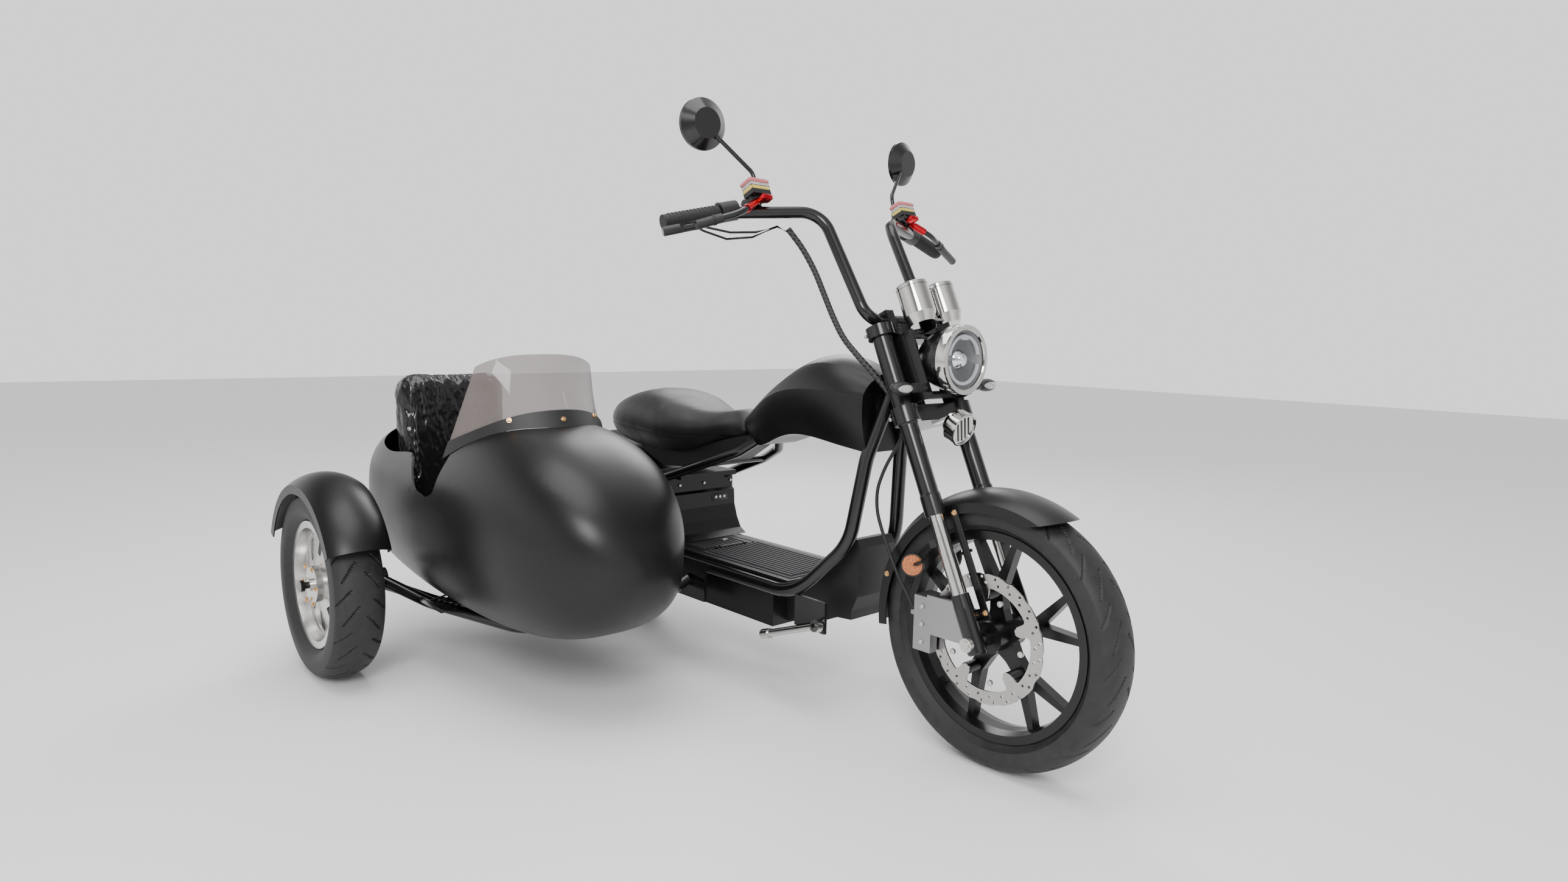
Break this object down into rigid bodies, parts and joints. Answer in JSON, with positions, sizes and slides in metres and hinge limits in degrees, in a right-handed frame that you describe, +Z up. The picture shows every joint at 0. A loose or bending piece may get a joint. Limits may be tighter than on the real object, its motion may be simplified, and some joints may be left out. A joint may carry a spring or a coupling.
{
  "type": "electric chopper scooter with sidecar",
  "caption": "Low electric chopper scooter with a long raked fork, fat rear wheel and an open sidecar; it steers, rolls and folds its stand.",
  "frame": {"origin": "on the floor, under the middle of the whole outfit's box", "axes": "+X forwards, +Y to the rider's left, +Z up; the sidecar is on the rider's right"},
  "size_m": [2.131, 1.4998, 1.4489],
  "materials": {
    "satin_black": "satin matte black paint",
    "frame_black": "semi-gloss black paint",
    "tyre": "road tyre rubber",
    "alloy": "machined and polished",
    "rim_black": "satin black",
    "steel": "bare steel",
    "chrome": "bright chrome",
    "caliper_grey": "grey anodised",
    "vinyl": "matt vinyl",
    "backrest_vinyl": "smooth vinyl",
    "black_plastic": "textured",
    "rubber": "moulded",
    "lens": "clear",
    "tail_lens": "red",
    "smoked": "smoked",
    "battery": "plain block"
  },
  "bodies": {
    "chassis": {"cradle": "frame_black", "head_frame": "frame_black", "seat_rails": "frame_black", "tank": "satin_black", "saddle": "vinyl", "seat_pan": "black_plastic", "floorboard": "black_plastic", "battery_tray": "frame_black", "battery": "battery", "controller_box": "black_plastic", "battery_cover": "satin_black", "swingarm": "frame_black", "rear_axle": "steel", "rear_shocks": "frame_black", "rear_fender": "satin_black", "rear_lights": "tail_lens", "plate_holder": "frame_black", "sidecar_body": "satin_black", "sidecar_cushion": "vinyl", "sidecar_backrest": "backrest_vinyl", "windscreen": "smoked", "windscreen_band": "black_plastic", "sidecar_frame": "frame_black", "sidecar_arm": "frame_black", "sidecar_fender": "satin_black"},
    "fork": {"fork_lowers": "frame_black", "fork_stanchions": "chrome", "fork_tubes": "frame_black", "lower_yoke": "frame_black", "top_yoke": "frame_black", "front_axle": "steel", "handlebar": "frame_black", "handlebar_clamps": "frame_black", "grips": "rubber", "control_pods": "black_plastic", "brake_levers": "frame_black", "mirrors": "frame_black", "gauges": "chrome", "headlight_shell": "frame_black", "headlight_ring": "chrome", "headlight_lens": "lens", "headlight_bracket": "frame_black", "front_indicators": "black_plastic", "horn": "chrome", "front_fender": "satin_black", "fender_stays": "frame_black", "brake_caliper": "caliper_grey", "brake_hose": "rubber", "wiring_loom": "rubber"},
    "front_wheel": {"front_tyre": "tyre", "front_rim": "rim_black", "brake_disc": "steel"},
    "rear_wheel": {"rear_tyre": "tyre", "rear_rim": "rim_black"},
    "sidecar_wheel": {"sidecar_tyre": "tyre", "sidecar_rim": "alloy"},
    "side_stand": {"side_stand": "steel"},
    "battery_lid": {"battery_lid": "satin_black"}
  },
  "joints": [
    {"name": "steering", "type": "hinge", "parent": "chassis", "child": "fork", "pos_m": [0.48224, 0.245, 0.82032], "axis": [-0.4147, 0, 0.91], "range_deg": [-35, 35]},
    {"name": "front_wheel_spin", "type": "hinge", "parent": "fork", "child": "front_wheel", "pos_m": [0.772, 0.245, 0.293], "axis": [0, 1, 0], "continuous": true},
    {"name": "rear_wheel_spin", "type": "hinge", "parent": "chassis", "child": "rear_wheel", "pos_m": [-0.708, 0.245, 0.245], "axis": [0, 1, 0], "continuous": true},
    {"name": "sidecar_wheel_spin", "type": "hinge", "parent": "chassis", "child": "sidecar_wheel", "pos_m": [-0.678, -0.676, 0.249], "axis": [0, 1, 0], "continuous": true},
    {"name": "stand_fold", "type": "hinge", "parent": "chassis", "child": "side_stand", "pos_m": [0.357, 0.117, 0.229], "axis": [0, -0.9659, 0.2588], "range_deg": [0, 80]},
    {"name": "lid_open", "type": "hinge", "parent": "chassis", "child": "battery_lid", "pos_m": [-0.145, 0.245, 0.315], "axis": [0, 1, 0], "range_deg": [0, 75]}
  ]
}
